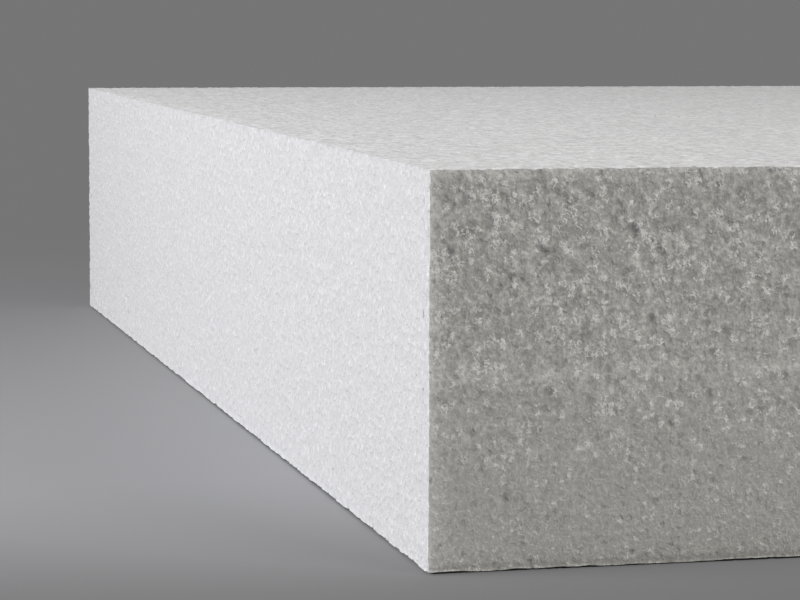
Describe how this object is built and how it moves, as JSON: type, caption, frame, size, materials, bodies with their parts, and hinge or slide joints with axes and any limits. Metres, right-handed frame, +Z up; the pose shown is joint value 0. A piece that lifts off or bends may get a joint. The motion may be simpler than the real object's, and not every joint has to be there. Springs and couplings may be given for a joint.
{
  "type": "foam block",
  "caption": "Rigid rectangular block of white expanded bead foam, sawn square, with one rougher stepped face, for packing, padding, propping or carving.",
  "frame": {"origin": "on the base, under the middle of the block", "axes": "+Y from the rough stepped front face to the back, the block's longest way; +X along that front face; +Z up, the shortest way"},
  "size_m": [0.3, 0.5, 0.08],
  "materials": {
    "bead_foam": "matt white expanded bead foam with fine bead grain, sawn faces"
  },
  "bodies": {
    "root": {"foam_block": "bead_foam"}
  },
  "joints": []
}
